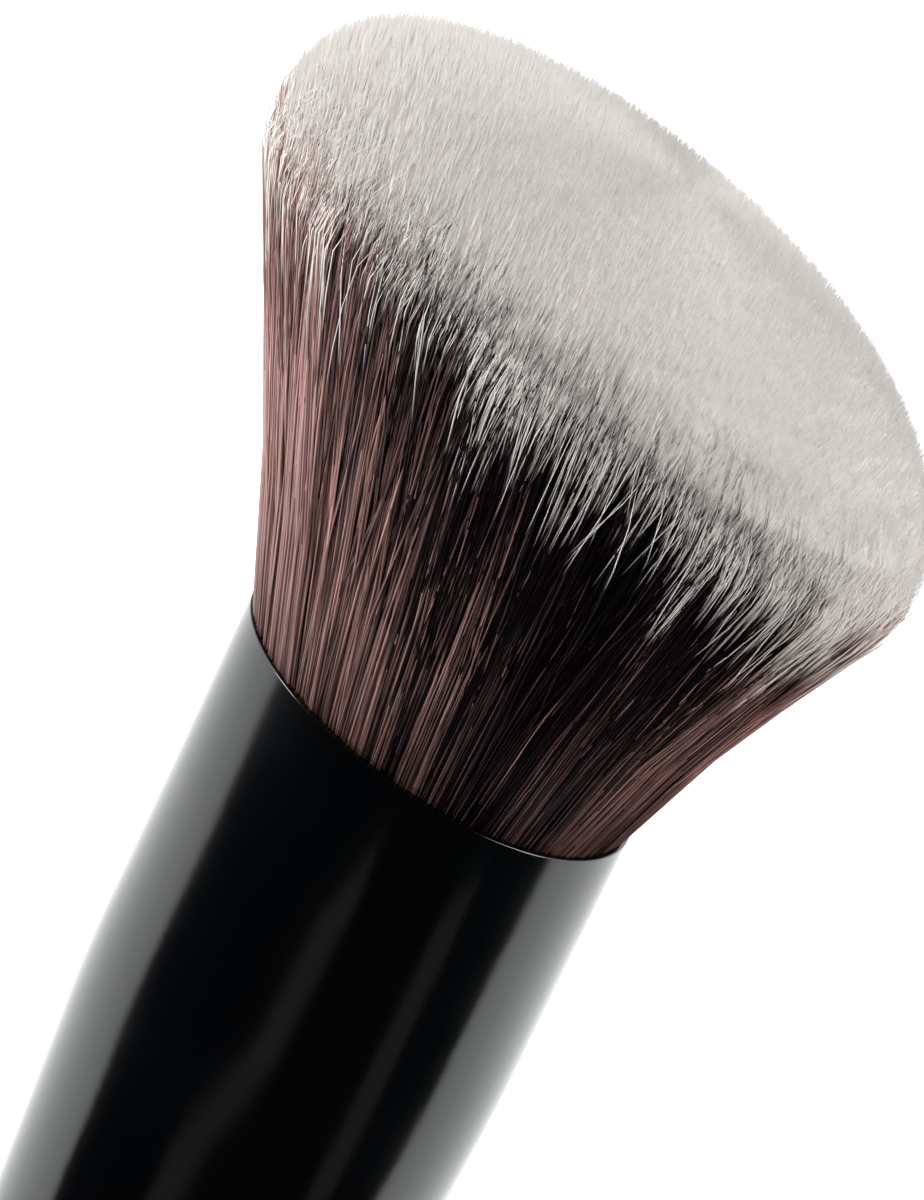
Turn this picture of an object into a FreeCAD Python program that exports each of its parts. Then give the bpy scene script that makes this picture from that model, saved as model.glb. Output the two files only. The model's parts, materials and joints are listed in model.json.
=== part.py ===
import FreeCAD
import Part
import math
import os

# The brush is modelled along its own axis and then laid down as it rests.
# Own axis: x = 0 at the centre of the ferrule's mouth, +X towards the fibre tips,
# -Y towards the short side of the slanted fibres, +Z out of the broad upper side.
# Lengths are in millimetres and angles in degrees.

# Ferrule
FERRULE_D = 20.0
FERRULE_WALL = 0.7
FERRULE_LENGTH = 46.0
FERRULE_STRAIGHT = 14.2
FERRULE_BLEND_R = 100.0
FERRULE_TAPER = 3.7
MOUTH_SLANT = 8.8
LIP_CHAMFERS = (0.3, 0.12)

# Handle
HANDLE_CURVE_LENGTH = 78.0
TAIL_LENGTH = 11.0
TENON_LENGTH = 16.0
TENON_CHAMFER = 0.8
SHOULDER_CHAMFER = 0.2
FIT_CLEARANCE = 0.05

# Roots, held inside the ferrule
ROOT_LENGTH = 15.0
GLUE_LENGTH = 7.0
BINDING_START = 7.0
BINDING_LENGTH = 3.6
THREAD_D = 0.9
WAIST_RAMP = 0.4

# Fibre bundle outside the ferrule
FLANK_LENGTH = 18.1
HEAD_WIDTH = 35.2
HEAD_THICKNESS = 24.4
THICKNESS_BULGE = 0.55
LEAN_TO_LONG_SIDE = 0.7
CROWN_HEIGHT = 10.1
CROWN_SLANT = 13.6
CROWN_POWER = 2.34

# Tufts along the flank, and the ragged border of the dyed tips
TUFTS = 48
TUFT_DEPTH = 0.4
BORDER_HEIGHT = 18.3
TOOTH_HEIGHT = 3.2
TOOTH_VARIATION = 1.2

# Sections that the bundle's surface is built through
FLANK_STEPS = 4
CROWN_ANGLES = (24.0, 38.0, 51.0, 63.0, 74.0, 83.0)

MOUTH_R = FERRULE_D / 2.0
BORE_R = MOUTH_R - FERRULE_WALL
ROOT_R = BORE_R - FIT_CLEARANCE
WAIST_R = ROOT_R - THREAD_D
X_DIR = FreeCAD.Vector(1, 0, 0)
Y_DIR = FreeCAD.Vector(0, 1, 0)
CENTRE = FreeCAD.Vector(0, 0, 0)


def point(x, r):
    return FreeCAD.Vector(x, 0, r)


def line(start, end):
    return Part.LineSegment(start, end).toShape()


def arc(start, middle, end):
    return Part.Arc(start, middle, end).toShape()


def long_arc(start, middle, end):
    """A shallow arc kept as a spline, so that it turns into a plain surface of revolution."""
    return Part.Arc(start, middle, end).toBSpline().toShape()


def turned(edges):
    """The solid that a closed profile sweeps round the brush's axis."""
    return Part.Face(Part.Wire(edges)).revolve(CENTRE, X_DIR, 360)


def taper_profile(inset):
    """Points of the ferrule's wall line: straight, one long arc, then a cone.

    An inset is measured square to the wall, so that the wall keeps one thickness.
    """
    angle = math.radians(FERRULE_TAPER)
    radius = FERRULE_BLEND_R - inset
    straight_end = -FERRULE_STRAIGHT
    centre_r = MOUTH_R - FERRULE_BLEND_R

    def on_arc(turn):
        return point(straight_end - radius * math.sin(turn), centre_r + radius * math.cos(turn))

    cone_start = on_arc(angle)
    cone_run = FERRULE_LENGTH + cone_start.x
    cone_end = point(-FERRULE_LENGTH, cone_start.z - cone_run * math.tan(angle))
    return on_arc(0.0), on_arc(angle / 2.0), cone_start, cone_end


def radius_inside(x):
    """Inside radius of the ferrule's cone at a place on the axis."""
    cone_start = taper_profile(FERRULE_WALL)[2]
    return cone_start.z - (cone_start.x - x) * math.tan(math.radians(FERRULE_TAPER))


def ferrule():
    front = MOUTH_R
    outer = taper_profile(0.0)
    inner = taper_profile(FERRULE_WALL)
    tube = turned([
        line(point(front, MOUTH_R), outer[0]),
        long_arc(outer[0], outer[1], outer[2]),
        line(outer[2], outer[3]),
        line(outer[3], inner[3]),
        line(inner[3], inner[2]),
        long_arc(inner[2], inner[1], inner[0]),
        line(inner[0], point(front, BORE_R)),
        line(point(front, BORE_R), point(front, MOUTH_R)),
    ])
    waste = Part.makeBox(4 * MOUTH_R, 4 * MOUTH_R, 4 * MOUTH_R)
    waste.translate(FreeCAD.Vector(0, -2 * MOUTH_R, -2 * MOUTH_R))
    waste.rotate(CENTRE, FreeCAD.Vector(0, 0, 1), -MOUTH_SLANT)
    tube = tube.cut(waste)
    for size in LIP_CHAMFERS:
        rims = sorted(mouth_edges(tube), key=lambda edge: edge.Length)
        tube = tube.makeChamfer(size, [rims[-1]])
    return tube


def mouth_edges(tube):
    """Closed edges that lie in the slanted plane of the mouth."""
    slope = math.tan(math.radians(MOUTH_SLANT))
    found = []
    for edge in tube.Edges:
        ends = [edge.valueAt(edge.FirstParameter + share * (edge.LastParameter - edge.FirstParameter))
                for share in (0.0, 0.3, 0.6)]
        if all(abs(place.x - slope * place.y) < 1e-4 for place in ends):
            found.append(edge)
    return found


def tail_radius():
    """The handle leaves the ferrule along its cone and bends until it runs straight."""
    cone_end = taper_profile(0.0)[3]
    return cone_end.z - HANDLE_CURVE_LENGTH * math.tan(math.radians(FERRULE_TAPER / 2.0))


def tail_centre_x():
    """Centre of the half round end of the handle."""
    return -FERRULE_LENGTH - HANDLE_CURVE_LENGTH - TAIL_LENGTH


def handle():
    angle = math.radians(FERRULE_TAPER)
    shoulder = -FERRULE_LENGTH
    curve_r = HANDLE_CURVE_LENGTH / math.sin(angle)
    curve_end = shoulder - HANDLE_CURVE_LENGTH
    end_r = tail_radius()

    def on_curve(turn):
        return point(curve_end + curve_r * math.sin(turn), end_r + curve_r * (1.0 - math.cos(turn)))

    curve_start = on_curve(math.asin((HANDLE_CURVE_LENGTH - SHOULDER_CHAMFER) / curve_r))
    centre_x = tail_centre_x()
    diagonal = end_r * math.sqrt(0.5)
    tip = point(centre_x - end_r, 0)
    tenon_r = taper_profile(FERRULE_WALL)[3].z - FIT_CLEARANCE
    tenon_end = shoulder + TENON_LENGTH
    return turned([
        line(tip, point(tenon_end, 0)),
        line(point(tenon_end, 0), point(tenon_end, tenon_r - TENON_CHAMFER)),
        line(point(tenon_end, tenon_r - TENON_CHAMFER), point(tenon_end - TENON_CHAMFER, tenon_r)),
        line(point(tenon_end - TENON_CHAMFER, tenon_r), point(shoulder, tenon_r)),
        line(point(shoulder, tenon_r), point(shoulder, curve_start.z - SHOULDER_CHAMFER)),
        line(point(shoulder, curve_start.z - SHOULDER_CHAMFER), curve_start),
        long_arc(curve_start, on_curve(angle / 2.0), point(curve_end, end_r)),
        line(point(curve_end, end_r), point(centre_x, end_r)),
        arc(point(centre_x, end_r), point(centre_x - diagonal, diagonal), tip),
    ])


def glue_plug():
    front = -ROOT_LENGTH
    back = front - GLUE_LENGTH
    cone_start = taper_profile(FERRULE_WALL)[2]
    wall = taper_profile(FERRULE_WALL + FIT_CLEARANCE)
    back_r = radius_inside(back) - FIT_CLEARANCE
    plug_front_r = ROOT_R
    return turned([
        line(point(front, 0), point(front, plug_front_r)),
        line(point(front, plug_front_r), point(cone_start.x, wall[2].z)),
        line(point(cone_start.x, wall[2].z), point(back, back_r)),
        line(point(back, back_r), point(back, 0)),
        line(point(back, 0), point(front, 0)),
    ])


def binding_thread():
    """The wound thread as one band, with corners as slack as its outermost turns."""
    start = -BINDING_START
    back = start - BINDING_LENGTH
    inner_r = WAIST_R + FIT_CLEARANCE
    outer_r = WAIST_R + THREAD_D
    slack = THREAD_D / 4.0
    return turned([
        line(point(start, inner_r), point(start, outer_r - slack)),
        line(point(start, outer_r - slack), point(start - slack, outer_r)),
        line(point(start - slack, outer_r), point(back + slack, outer_r)),
        line(point(back + slack, outer_r), point(back, outer_r - slack)),
        line(point(back, outer_r - slack), point(back, inner_r)),
        line(point(back, inner_r), point(start, inner_r)),
    ])


def fibre_point(level, angle, inset):
    """A point on the bundle's surface.

    Level runs along the fibres, from 0 at the mouth to the flank's length and on
    through the height of the crown. Each level lies in a plane of its own, which
    turns from the slant of the mouth to the slant of the crown.
    """
    share = min(1.0, level / FLANK_LENGTH)
    rise = max(0.0, level - FLANK_LENGTH) / CROWN_HEIGHT
    shrink = max(0.0, 1.0 - rise ** CROWN_POWER) ** (1.0 / CROWN_POWER)
    mouth_slope = math.tan(math.radians(MOUTH_SLANT))
    crown_slope = math.tan(math.radians(CROWN_SLANT))
    slope = mouth_slope + (crown_slope - mouth_slope) * share
    half_width = ROOT_R + (HEAD_WIDTH / 2.0 - ROOT_R) * share
    bulge = 4.0 * THICKNESS_BULGE * share * (1.0 - share)
    half_thickness = ROOT_R + (HEAD_THICKNESS / 2.0 - ROOT_R) * share + bulge
    lean = LEAN_TO_LONG_SIDE * share
    y = lean - (half_width * shrink - inset) * math.cos(angle)
    z = (half_thickness * shrink - inset) * math.sin(angle)
    return FreeCAD.Vector(level + slope * y, y, z)


def tuft_inset(level):
    """Depth of the grooves between tufts: none at the mouth, fading out over the crown."""
    grown = min(1.0, level / FLANK_LENGTH)
    left = 1.0 - max(0.0, level - FLANK_LENGTH) / CROWN_HEIGHT
    return TUFT_DEPTH * grown * left


def tuft_angle(index):
    """Two points for each tuft. No ridge lies exactly at the bottom, so that two carry it."""
    return math.pi * (index + 0.5) / TUFTS + math.pi / (2 * TUFTS)


def fibre_section(level):
    """One closed outline round the bundle, in and out over every tuft."""
    points = []
    for index in range(2 * TUFTS):
        inset = tuft_inset(level) if index % 2 else 0.0
        points.append(fibre_point(level, tuft_angle(index), inset))
    return points


def border_section():
    """The ragged border: dark teeth up every ridge, pale teeth down every groove."""
    points = []
    for index in range(2 * TUFTS):
        uneven = TOOTH_VARIATION * math.sin(2.4 * index) * math.cos(0.7 * index)
        side = -0.5 if index % 2 else 0.5
        level = BORDER_HEIGHT + side * TOOTH_HEIGHT + 0.5 * uneven
        inset = tuft_inset(level) if index % 2 else 0.0
        points.append(fibre_point(level, tuft_angle(index), inset))
    return points


def root_section(x, radius):
    """An outline round the roots, square to the axis and inside the round bore."""
    points = []
    for index in range(2 * TUFTS):
        angle = tuft_angle(index)
        points.append(FreeCAD.Vector(x, -radius * math.cos(angle), radius * math.sin(angle)))
    return points


def facet(first, second, third):
    return Part.Face(Part.makePolygon([first, second, third, first]))


def folded_skin(sections):
    """The skin between outlines. Each strip of a tuft's side is folded once, so it is flat."""
    faces = []
    for lower, upper in zip(sections, sections[1:]):
        for index, start in enumerate(lower):
            following = (index + 1) % len(lower)
            faces.append(facet(start, lower[following], upper[index]))
            faces.append(facet(lower[following], upper[following], upper[index]))
    return faces


def fan(points, apex):
    faces = []
    for index, start in enumerate(points):
        faces.append(facet(start, points[(index + 1) % len(points)], apex))
    return faces


def closed_solid(faces):
    shell = Part.makeCompound(faces)
    shell.sewShape()
    solid = Part.Solid(shell if shell.ShapeType == "Shell" else shell.Shells[0])
    if solid.Volume < 0:
        solid.reverse()
    return solid


def crown_levels():
    levels = []
    for angle in CROWN_ANGLES:
        rise = math.sin(math.radians(angle)) ** (2.0 / CROWN_POWER)
        levels.append(FLANK_LENGTH + CROWN_HEIGHT * rise)
    return levels


def border_centre():
    return fibre_point(BORDER_HEIGHT, 0.0, 0.0) * 0.5 + fibre_point(BORDER_HEIGHT, math.pi, 0.0) * 0.5


def fibre_body():
    waist_front = -BINDING_START + FIT_CLEARANCE
    waist_back = -BINDING_START - BINDING_LENGTH - FIT_CLEARANCE
    sections = [
        root_section(-ROOT_LENGTH, ROOT_R),
        root_section(waist_back - WAIST_RAMP, ROOT_R),
        root_section(waist_back, WAIST_R),
        root_section(waist_front, WAIST_R),
        root_section(waist_front + WAIST_RAMP, ROOT_R),
    ]
    last_regular = BORDER_HEIGHT - TOOTH_HEIGHT
    for step in range(FLANK_STEPS + 1):
        sections.append(fibre_section(last_regular * step / FLANK_STEPS))
    sections.append(border_section())
    bottom = Part.Face(Part.makePolygon(sections[0] + [sections[0][0]]))
    return closed_solid([bottom] + folded_skin(sections) + fan(sections[-1], border_centre()))


def fibre_tips():
    sections = [border_section()] + [fibre_section(level) for level in crown_levels()]
    top = FLANK_LENGTH + CROWN_HEIGHT
    pole = fibre_point(top, 0.0, 0.0)
    return closed_solid(fan(sections[0], border_centre()) + folded_skin(sections) + fan(sections[-1], pole))


def rest_angle():
    """Tilt at which the fibres' underside and the round tail both touch the ground."""
    tail_x = tail_centre_x()
    tail_r = tail_radius()
    steepest = 0.0
    steps = 60
    for step in range(steps + 1):
        level = (FLANK_LENGTH + CROWN_HEIGHT / 2.0) * step / steps
        for place in fibre_section(level):
            run = place.x - tail_x
            reach = math.hypot(run, place.z)
            steepest = max(steepest, math.atan2(-place.z, run) - math.asin(tail_r / reach))
    return math.degrees(steepest)


def main():
    os.makedirs("parts", exist_ok=True)
    nodes = {
        "handle": handle(),
        "ferrule": ferrule(),
        "glue_plug": glue_plug(),
        "binding_thread": binding_thread(),
        "fibre_body": fibre_body(),
        "fibre_tips": fibre_tips(),
    }
    tilt = rest_angle()
    for shape in nodes.values():
        shape.rotate(CENTRE, Y_DIR, -tilt)
    whole = Part.makeCompound(list(nodes.values())).optimalBoundingBox(False)
    drop = FreeCAD.Vector(-whole.Center.x, -whole.Center.y, -whole.ZMin)
    for name, shape in nodes.items():
        shape.translate(drop)
        shape.exportStep("parts/" + name + ".step")
        print(name, "valid", shape.isValid(), "solids", len(shape.Solids), "volume", round(shape.Volume, 1))
    print("tilt", round(tilt, 4), "mouth centre", drop)
    print("tail radius", round(tail_radius(), 4), "size", whole.XLength, whole.YLength, whole.ZLength)


if __name__ == "__main__":
    main()
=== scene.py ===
import json
import math

import bpy
import numpy as np
from bpy.props import FloatProperty, FloatVectorProperty, IntProperty, PointerProperty
from mathutils import Matrix, Vector


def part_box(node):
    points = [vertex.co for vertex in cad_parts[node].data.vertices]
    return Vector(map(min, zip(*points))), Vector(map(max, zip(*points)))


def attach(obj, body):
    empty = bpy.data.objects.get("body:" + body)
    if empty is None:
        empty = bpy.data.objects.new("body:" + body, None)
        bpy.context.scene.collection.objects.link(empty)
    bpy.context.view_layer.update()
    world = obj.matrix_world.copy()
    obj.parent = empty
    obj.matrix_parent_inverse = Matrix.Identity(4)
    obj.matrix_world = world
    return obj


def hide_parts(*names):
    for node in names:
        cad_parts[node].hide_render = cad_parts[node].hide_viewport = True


bl_info = {
    "name": "Angled blush brush",
    "version": (1, 0, 0),
    "blender": (4, 5, 0),
    "location": "3D View > Sidebar > Brush",
    "description": "A slanted make-up brush with a black ferrule, a black handle and two-tone fibres",
    "category": "Add Mesh",
}

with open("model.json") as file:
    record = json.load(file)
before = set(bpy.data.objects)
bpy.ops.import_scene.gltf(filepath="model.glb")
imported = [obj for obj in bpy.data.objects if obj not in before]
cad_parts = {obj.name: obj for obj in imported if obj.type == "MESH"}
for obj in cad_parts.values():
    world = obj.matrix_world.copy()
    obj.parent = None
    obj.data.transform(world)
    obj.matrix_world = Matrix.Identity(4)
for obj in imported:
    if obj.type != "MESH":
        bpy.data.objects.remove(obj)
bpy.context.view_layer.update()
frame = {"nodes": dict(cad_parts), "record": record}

MM = 0.001
TOUCH = 0.001 * MM          # two places nearer than this count as one

# The brush lies with its axis tilted up towards the fibres. Its own axes have x = 0 at the
# middle of the ferrule's mouth and +X towards the tips; the short side of the fibres is -Y.
TAIL_MOUNT = frame["record"]["mounts"][0]
TAIL_PLACE = Vector(TAIL_MOUNT["pos_m"])
TIPWARD = -Vector(TAIL_MOUNT["axis"]).normalized()
LIE_ANGLE = math.atan2(TIPWARD.z, TIPWARD.x)
TAIL_RADIUS = TAIL_MOUNT["dims"]["r_mm"] * MM
MOUTH_SLANT = math.radians(8.8)


def reach_along_axis(node):
    """Lowest and highest place of a node along the brush's axis, from the tail mount."""
    places = [(v.co - TAIL_PLACE).dot(TIPWARD) for v in frame["nodes"][node].data.vertices]
    return min(places), max(places)


FERRULE_BACK, FERRULE_FRONT = reach_along_axis("ferrule")
FERRULE_LOW, FERRULE_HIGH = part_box("ferrule")
MOUTH_RADIUS = (FERRULE_HIGH[1] - FERRULE_LOW[1]) / 2.0
MOUTH_X = FERRULE_FRONT - MOUTH_RADIUS * math.tan(MOUTH_SLANT)
MOUTH_CENTRE = TAIL_PLACE + TIPWARD * MOUTH_X
TO_FRAME = Matrix.Translation(MOUTH_CENTRE) @ Matrix.Rotation(-LIE_ANGLE, 4, "Y")
FERRULE_LENGTH = MOUTH_X - FERRULE_BACK
HANDLE_TIP = reach_along_axis("handle")[0]
FERRULE_WALL = 0.7 * MM
FERRULE_STRAIGHT = 14.2 * MM
FERRULE_BLEND = 100.0 * MM
FERRULE_TAPER = math.radians(3.7)
BACK_ROUND = 0.12 * MM
SPIN_STEPS = 192
ARC_STEPS = 24
GLUE_GAP = 0.05 * MM        # room for glue between the ferrule's wall and what it holds
TENON_LENGTH = 16.0 * MM
TENON_CORNER = 0.8 * MM
SHOULDER_ROUND = 0.2 * MM

# The fibre bundle's form, as in the part's source, along the brush's own axes
ROOT_RADIUS = MOUTH_RADIUS - FERRULE_WALL - GLUE_GAP
FLANK_LENGTH = 18.1 * MM
HALF_WIDTH = 17.6 * MM
HALF_THICKNESS = 12.2 * MM
THICKNESS_BULGE = 0.55 * MM
LEAN = 0.7 * MM
CROWN_HEIGHT = 10.1 * MM
CROWN_SLANT = math.radians(13.6)
CROWN_POWER = 2.34
FAN_ON = 0.45               # how much of the flank's flare the fibres keep past the flank

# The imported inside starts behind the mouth, and is fuller at the shoulder than at the mouth
CORE_FOOT = -2.0 * MM
CORE_SHARE = 0.9
CORE_SWELL = 0.03
CORE_TUCK = 0.6 * MM        # how far it stays under the crown

# The fibres' colour map: one column for each tone, and the colour border half way up
TONES = 64
TOP_TONE = 0.999
COLUMN_FILL = 0.3           # share of its column that a strand's own breadth takes up
ALONG_SPAN = 44.0 * MM
BORDER_BLUR = 0.8 * MM

# The colour border in millimetres: its middle level, its rise to the middle of a broad side, and
# how much lower it is on the short side and higher on the long side
BORDER_LEVEL = 17.5
BORDER_RISE = 3.0
BORDER_SKEW = 0.8

# Painted shade: how brown the strands are made round the head, by the angle from the middle of the short
# side to the middle of the long one; darkest on the broad sides, where the lamps leave shade
SHADE_TURNS = np.radians([0.0, 22.0, 40.0, 55.0, 70.0, 85.0, 100.0, 115.0, 130.0, 145.0, 180.0])
SHADED_TONES = (0.94, 0.8, 0.3, 0.02, 0.0, 0.0, 0.14, 0.33, 0.56, 0.9, 1.05)

# How the strands differ from each other: angles are round the brush's axis, places between the
# middle and the skin are shares, and a pair of numbers is the lowest and the highest
TONE_SCATTER = 0.16
CLUMP_TONE_SCATTER = 0.1
CLUMP_SPREAD = 0.08
CLUMP_GATHER = (0.4, 0.85)
CLUMP_GATHER_OUT = 0.5      # share of the gathering that also works between the middle and the skin
CLUMP_BORDER_SCATTER = 0.6 * MM
WEDGE_SCATTER = 0.45        # what the clumps' borders differ by besides, as a share of the wedge
BORDER_SCATTER = 0.5 * MM
OUT_SCATTER = 0.02
OUT_LIMITS = (0.84, 1.0)
END_SCATTER = (-0.01, 0.015)
SKIN_SCATTER = 0.004
TIP_TUCK = 0.02             # how far a flank strand's tip dips in under the skin
RIPPLE = 0.4                # share of the waver
RIPPLE_TURNS = 3.5
FLANK_THICKNESS = (0.7, 1.2)
SPIKE_THICKNESS = (0.8, 1.2)
STRAY_THICKNESS = (0.5, 0.9)

# A flank strand's stations as shares of its length, where it starts, its pale end, and where and
# how much it thins
STATIONS = np.array([0.0, 0.35, 0.6, 0.74, 0.83, 0.9, 0.95, 1.0])
STATION_BIAS = (0.85, 1.15)
ROOT_LEVEL = -1.5 * MM
SHORTEST_PAST_BORDER = 0.8 * MM
PALE_END_SHAPE = 1.2
PALE_END = 0.8 * MM
BEND_IN_FROM = 0.9          # share of the flank from which strands bend in along the skin
THINNER_FROM = 0.5
THINNER_BY = 0.5

# The flank's three layers from the inside out: shares of the settings' strands, clumps, waver and
# radius, the range between the middle and the skin, how far the colour border is moved along,
# how much later a clump's outer strands turn pale, and how much browner the strands are
FLANK_LAYERS = (
    {"strands": 0.8, "clumps": 1.0, "waver": 0.5, "radius": 1.0,
     "depth": (0.88, 0.93), "lift": 1.8 * MM, "wedge": 0.6 * MM, "browner": -0.15},
    {"strands": 1.0, "clumps": 1.0, "waver": 0.9, "radius": 0.9,
     "depth": (0.92, 0.97), "lift": 0.4 * MM, "wedge": 1.3 * MM, "browner": 0.0},
    {"strands": 1.0, "clumps": 0.5, "waver": 1.1, "radius": 0.85,
     "depth": (0.95, 1.0), "lift": -2.4 * MM, "wedge": 2.3 * MM, "browner": 0.08},
)

# The crown's spikes: the length that is modelled in millimetres, and how much they differ
SPIKE_LENGTH = (1.6, 4.2)
SPIKE_PUSH = (0.96, 1.0)
SPIKE_END = 0.05 * MM
SPIKE_END_SCATTER = 0.1 * MM
SPIKE_LEAN = 0.012
SPIKE_SLIP = 0.008
SPIKE_BORDER_LIFT = 0.4 * MM
SPIKE_BORDER_SCATTER = 1.0 * MM

# Loose strands: in millimetres, where they start, how far past the colour border they end and how
# far their own border is moved, and how they sway, curl, lie over the skin and differ in tone
STRAY_STATIONS = 6
STRAY_START = (7.0, 12.0)
STRAY_OUT = (0.99, 1.03)
STRAY_OVER_SKIN = (0.002, 0.02)
STRAY_ROOT_TUCK = 0.04
STRAY_SWAY = 0.05
STRAY_CURL = 0.012
STRAY_CURL_TURNS = 4.0
STRAY_TONE_SHARE = 0.7
STRAY_TONE_ADDED = (0.0, 0.3)
STRAY_THINNER_BY = 0.6
PALE_STRAYS = {"ends": (-0.5, 1.5), "shift": (-6.0, -0.5)}
BROWN_STRAYS = {"ends": (1.5, 5.0), "shift": (2.0, 6.0)}

# The black share of a strand's colour at the roots and at the colour border, less this much for a tone; it
# is dye and, through the tone, painted shade on the broad sides
BLACK_DYE_AND_SHADE = (0.004, 0.002, 0.003)
BLACK_SHARE = (0.95, 2.0)
TONE_LIGHTENS = 2.4

# Where most values of a noise lie
NOISE_SPAN = (0.3, 0.7)

# What the photograph's camera sees: its tilt and roll about the brush's mouth
VIEW_TILT = math.radians(22.5)
VIEW_ROLL = math.radians(25.5)
PHOTO_SCALE = 22.3          # pixels of the photograph in a millimetre of the brush
PHOTO_SIZE = (924, 1200)
MOUTH_PIXEL = (442.2, 712.8)
SENSOR = 36.0

# Softboxes: name, place from the middle of the head, size, the setting that gives its brightness,
# and whether the glossy coats mirror it
HEAD_CENTRE = MOUTH_CENTRE + TIPWARD * 18.0 * MM
SOFTBOXES = (
    ("window_softbox", (0.1, 0.38, 0.07), (0.3, 0.12), "window_light", True),
    ("top_softbox", (0.16, 0.06, 0.36), (0.3, 0.3), "top_light", False),
    ("side_softbox", (0.12, -0.3, 0.05), (0.3, 0.08), "side_light", True),
)

# Dim strips: name, place and long direction in the brush's own axes, size, and share of the
# setting's brightness
STRIPS = (
    ("long_strip", (-0.295, 0.125, 0.51), (-0.596, 0.803, 0.0), (0.36, 0.07), 1.0),
    ("short_strip", (-0.23, -0.362, 0.28), (-0.9, 0.13, -0.42), (0.14, 0.09), 0.8),
)

# The table's plain glow, and from where to where past the tips its added glow fades out
TABLE_BASE_GLOW = 0.95
TABLE_FADE = (0.085, 0.12)
GLOW_TINT = (0.96, 0.985, 1.0)
ROOM_TINT = (0.9, 0.95, 1.0)
ROOM_GLOW = 0.008


def eased(x):
    """A share from 0 to 1 that starts and ends gently."""
    x = np.clip(x, 0.0, 1.0)
    return x * x * (3.0 - 2.0 * x)


def flank_half(level):
    """Half width and half thickness of the bundle at a level along the fibres."""
    share = np.clip(level / FLANK_LENGTH, 0.0, None)
    risen = np.minimum(share, 1.0)
    reach = risen + FAN_ON * np.clip(share - 1.0, 0.0, None)
    width = ROOT_RADIUS + (HALF_WIDTH - ROOT_RADIUS) * reach
    bulge = 4.0 * THICKNESS_BULGE * risen * (1.0 - risen)
    thickness = ROOT_RADIUS + (HALF_THICKNESS - ROOT_RADIUS) * reach + bulge
    return width, thickness


def in_bundle(level, angle, share_out):
    """Points of the bundle in its own axes: share_out is 0 in the middle and 1 at the skin."""
    risen = np.clip(level / FLANK_LENGTH, 0.0, 1.0)
    slope = math.tan(MOUTH_SLANT) + (math.tan(CROWN_SLANT) - math.tan(MOUTH_SLANT)) * risen
    width, thickness = flank_half(level)
    y = LEAN * risen - width * share_out * np.cos(angle)
    z = thickness * share_out * np.sin(angle)
    return np.stack([level + slope * y, y, z], axis=-1)


TIP_LEVELS = np.linspace(FLANK_LENGTH, FLANK_LENGTH + CROWN_HEIGHT, 400)
TIP_RISE = (TIP_LEVELS - FLANK_LENGTH) / CROWN_HEIGHT
TIP_SHRINK = np.clip(1.0 - TIP_RISE ** CROWN_POWER, 0.0, None) ** (1.0 / CROWN_POWER)
TIP_SHARES = TIP_SHRINK * HALF_WIDTH / flank_half(TIP_LEVELS)[0]


def tip_level(share_out):
    """Level at which a fibre ends on the crown, by its place between the middle and the skin."""
    return np.interp(share_out, TIP_SHARES[::-1], TIP_LEVELS[::-1])


def skin_share(level):
    """How far out the bundle's skin is at a level: 1 along the flank, less over the crown."""
    return np.interp(level, TIP_LEVELS, TIP_SHARES)


def loose_reach(share_out, angle):
    """How far the tips stand past the crown: most at the rim of the long side."""
    most = 0.3 * MM
    start = 0.4
    return most * eased((share_out - start) / (1.0 - start)) * (1.0 - np.cos(angle))


def border_level(angle):
    """Middle of the colour border: higher on the broad sides than on the narrow ones."""
    return (BORDER_LEVEL + BORDER_RISE * np.sin(angle) ** 2 - BORDER_SKEW * np.cos(angle)) * MM


def shaded_tone(angle):
    """How brown a strand is made, from 0 for nearly black: painted shade, darkest beside the middle of a
    broad side where the lamps leave shade.
    """
    turn = np.abs(np.mod(angle + math.pi, 2.0 * math.pi) - math.pi)
    return np.interp(turn, SHADE_TURNS, SHADED_TONES)


def mesh_object(name, points, loops, sizes):
    """A new object from arrays of corners, face corners and face sizes."""
    mesh = bpy.data.meshes.new(name)
    mesh.vertices.add(len(points))
    mesh.vertices.foreach_set("co", np.ascontiguousarray(points, np.float32).ravel())
    mesh.loops.add(len(loops))
    mesh.loops.foreach_set("vertex_index", np.ascontiguousarray(loops, np.int32))
    mesh.polygons.add(len(sizes))
    starts = np.concatenate([[0], np.cumsum(sizes)[:-1]])
    mesh.polygons.foreach_set("loop_start", starts.astype(np.int32))
    mesh.polygons.foreach_set("loop_total", np.asarray(sizes, np.int32))
    mesh.update(calc_edges=True)
    mesh.validate()
    piece = bpy.data.objects.new(name, mesh)
    bpy.context.scene.collection.objects.link(piece)
    return piece


def only(piece):
    """Select one object alone and make it the active one."""
    bpy.ops.object.select_all(action="DESELECT")
    piece.select_set(True)
    bpy.context.view_layer.objects.active = piece


def faced_out(piece):
    """Turn all faces of a closed piece outwards."""
    only(piece)
    bpy.ops.object.mode_set(mode="EDIT")
    bpy.ops.mesh.select_all(action="SELECT")
    bpy.ops.mesh.normals_make_consistent(inside=False)
    bpy.ops.object.mode_set(mode="OBJECT")


def strand_pattern(rings):
    """Corners and faces of one straight three-sided strand, its rings and its pointed tip a unit apart."""
    bpy.ops.object.select_all(action="DESELECT")
    bpy.ops.mesh.primitive_circle_add(vertices=3, radius=1.0, fill_type="NGON")
    bpy.ops.object.mode_set(mode="EDIT")
    bpy.ops.mesh.select_all(action="SELECT")
    for _ in range(rings):
        bpy.ops.mesh.extrude_region_move(TRANSFORM_OT_translate={"value": (0.0, 0.0, 1.0)})
    bpy.ops.mesh.merge(type="CENTER")
    bpy.ops.object.mode_set(mode="OBJECT")
    model = bpy.context.active_object
    faced_out(model)
    places = np.array([vertex.co[:] for vertex in model.data.vertices])
    faces = [list(face.vertices) for face in model.data.polygons]
    bpy.data.meshes.remove(model.data)
    return places, faces


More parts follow.
